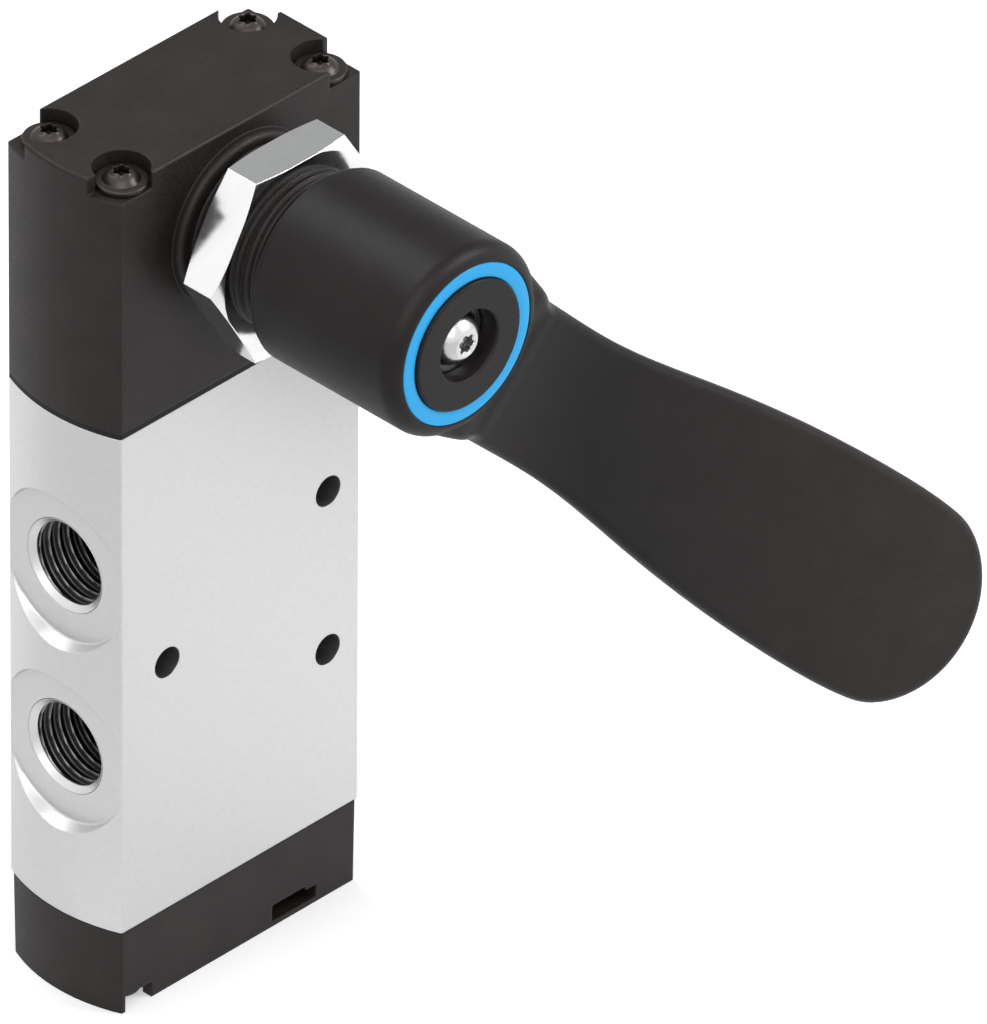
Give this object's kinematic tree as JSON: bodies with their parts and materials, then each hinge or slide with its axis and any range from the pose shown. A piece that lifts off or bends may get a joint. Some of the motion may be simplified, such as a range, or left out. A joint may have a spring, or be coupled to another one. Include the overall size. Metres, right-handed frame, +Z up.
{
  "type": "hand lever air valve",
  "caption": "Hand lever air valve: slim aluminium body with threaded ports, black housing with panel neck and nut, and a swept lever that turns a quarter and shifts a spool.",
  "frame": {"origin": "centre of the base cover's flat foot", "axes": "+Z up along the spool, from foot to housing; +X to the three port end; -Y to the lever, +Y out of the flat back"},
  "size_m": [0.101, 0.0761, 0.1265],
  "materials": {
    "black_plastic": "fine moulded grain, matte",
    "lever_plastic": "fine moulded grain, satin edges",
    "blue_plastic": "smooth, light blue",
    "seal_rubber": "smooth black rubber",
    "satin_aluminium": "machined, vibratory ground satin",
    "spool_aluminium": "turned, hard anodised",
    "dark_steel": "burnished dark steel",
    "ground_steel": "ground steel",
    "bright_nickel": "nickel plated, polished",
    "bearing_bronze": "sintered bronze, turned"
  },
  "bodies": {
    "valve": {"valve_body": "satin_aluminium", "actuator_housing": "black_plastic", "housing_seal": "seal_rubber", "housing_screws": "dark_steel", "base_cover": "black_plastic", "base_seal": "seal_rubber", "base_screws": "dark_steel", "panel_nut": "bright_nickel", "front_bush": "bearing_bronze", "rear_bush": "bearing_bronze", "guide_ring": "bearing_bronze", "lower_buffer": "seal_rubber", "detent_spring": "ground_steel"},
    "lever": {"lever": "lever_plastic", "hub_ring": "blue_plastic", "hub_insert": "ground_steel", "hub_washer": "bright_nickel", "hub_screw": "bright_nickel", "lever_shaft": "ground_steel", "shaft_seal": "seal_rubber", "shaft_clip": "dark_steel", "crank_pin": "ground_steel"},
    "spool": {"spool": "spool_aluminium", "spool_seals": "seal_rubber", "spool_yoke": "ground_steel", "yoke_pin": "ground_steel"}
  },
  "joints": [
    {"name": "lever_turn", "type": "hinge", "parent": "valve", "child": "lever", "pos_m": [0, 0, 0.1124], "axis": [0, 1, 0], "range_deg": [0, 90], "deforming": ["detent_spring"]},
    {"name": "spool_slide", "type": "slide", "parent": "valve", "child": "spool", "axis": [0, 0, 1], "range_m": [0, 0.006]}
  ],
  "couplings": [
    {"joint": "spool_slide", "follows": "lever_turn", "m_per_rad": 0.0038197}
  ]
}
